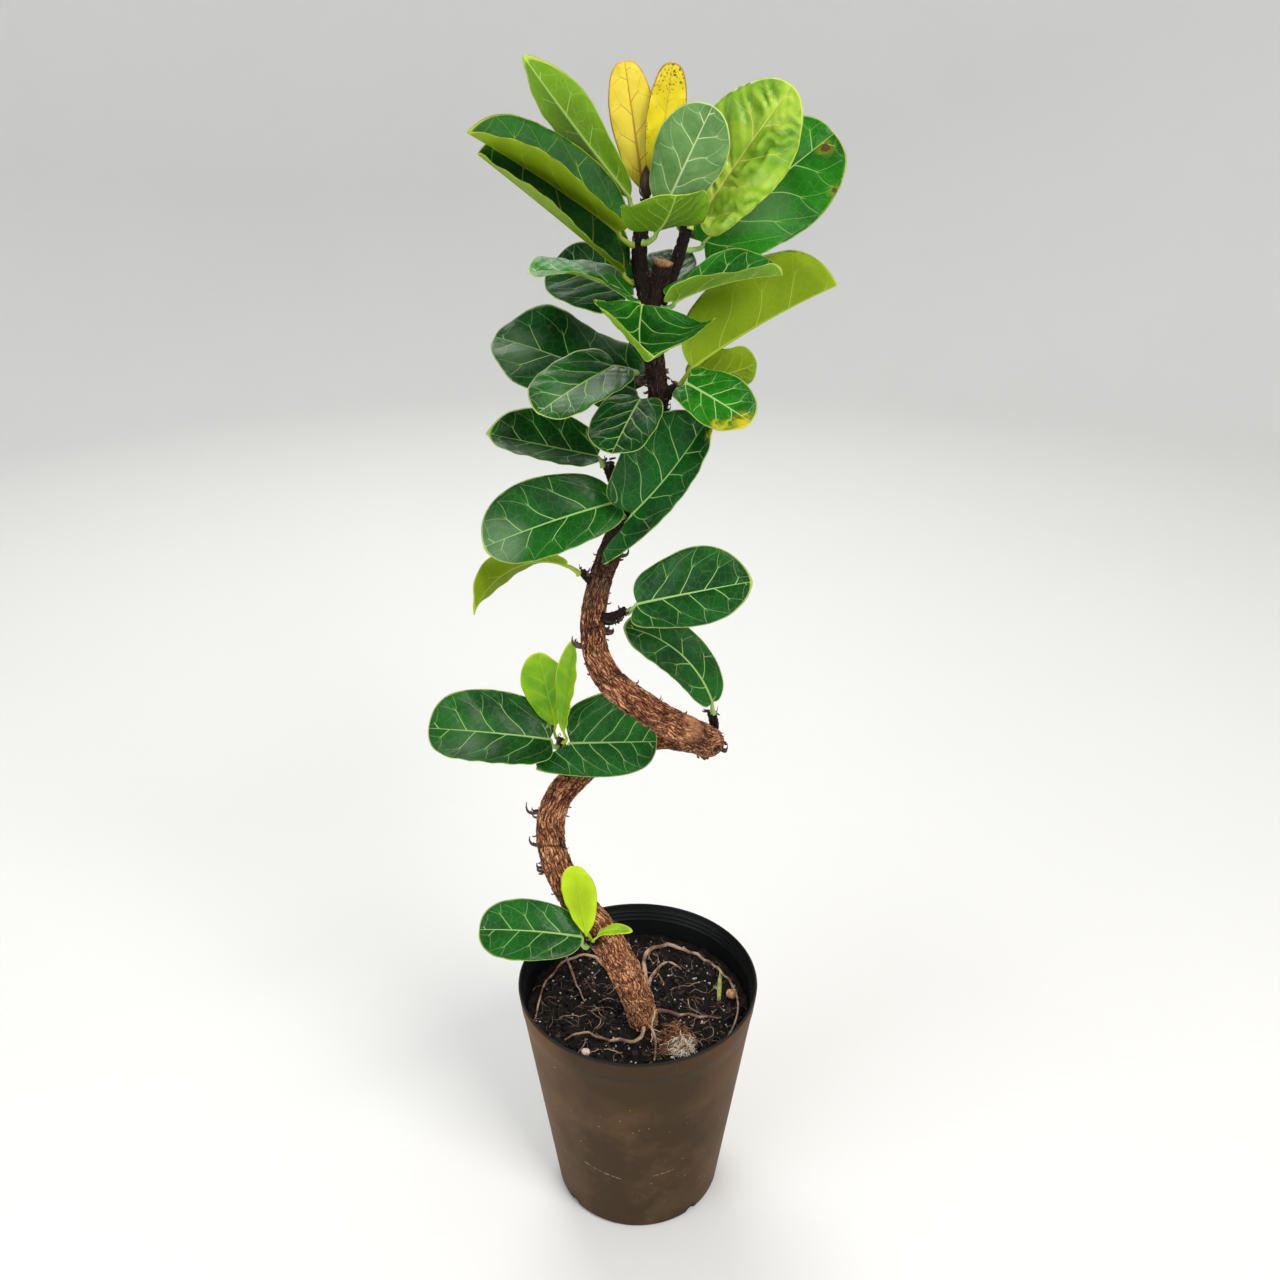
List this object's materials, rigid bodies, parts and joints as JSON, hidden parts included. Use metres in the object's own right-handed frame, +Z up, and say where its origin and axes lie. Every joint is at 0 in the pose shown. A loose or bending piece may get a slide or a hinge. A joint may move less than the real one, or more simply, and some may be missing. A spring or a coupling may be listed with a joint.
{
  "type": "potted bambino fiddle leaf fig",
  "caption": "Small-leaved fiddle leaf fig with a trunk trained into an open spiral, standing in a soil-filled nursery pot.",
  "frame": {"origin": "centre of the pot's underside, on the pot's axis", "axes": "+Z up along the pot's axis, -Y towards the front of the plant, +X to the right seen from the front"},
  "size_m": [0.2944, 0.2, 0.9201],
  "materials": {
    "pot_plastic": "satin",
    "potting_soil": "matte",
    "bark": "matte",
    "bud_sheath": "satin",
    "pale_stone": "matte",
    "leaf_dark": "satin",
    "leaf_deep": "satin",
    "leaf_green": "satin",
    "leaf_bright": "satin",
    "leaf_lime": "satin",
    "leaf_olive": "satin",
    "leaf_pale": "satin",
    "leaf_puckered": "satin",
    "leaf_yellow": "satin",
    "leaf_yellow_speckled": "satin"
  },
  "bodies": {
    "root": {"pot": "pot_plastic", "soil": "potting_soil", "trunk": "bark", "terminal_bud": "bud_sheath", "pebble": "pale_stone", "leaf_low_left": "leaf_dark", "leaf_low_upright": "leaf_lime", "leaf_low_small": "leaf_lime", "leaf_middle_left": "leaf_dark", "leaf_middle_lime_round": "leaf_lime", "leaf_middle_lime_narrow": "leaf_lime", "leaf_middle_right": "leaf_dark", "leaf_arched": "leaf_dark", "leaf_right": "leaf_dark", "leaf_drooping": "leaf_olive", "leaf_left_broad": "leaf_dark", "leaf_right_broad": "leaf_deep", "leaf_left_pointed": "leaf_dark", "leaf_front_round": "leaf_deep", "leaf_front_left": "leaf_dark", "leaf_back_left": "leaf_deep", "leaf_right_yellow_edge": "leaf_bright", "leaf_right_olive": "leaf_olive", "leaf_right_large_olive": "leaf_olive", "leaf_front_cup": "leaf_bright", "leaf_centre_left": "leaf_bright", "leaf_centre_right": "leaf_bright", "leaf_back_dark": "leaf_deep", "leaf_back_gap": "leaf_deep", "leaf_crown_left_low": "leaf_olive", "leaf_crown_left_front": "leaf_olive", "leaf_crown_tall": "leaf_green", "leaf_young_yellow_left": "leaf_yellow", "leaf_young_yellow_right": "leaf_yellow_speckled", "leaf_crown_pale": "leaf_pale", "leaf_crown_front": "leaf_green", "leaf_crown_puckered": "leaf_puckered", "leaf_crown_right_large": "leaf_bright"}
  },
  "joints": []
}
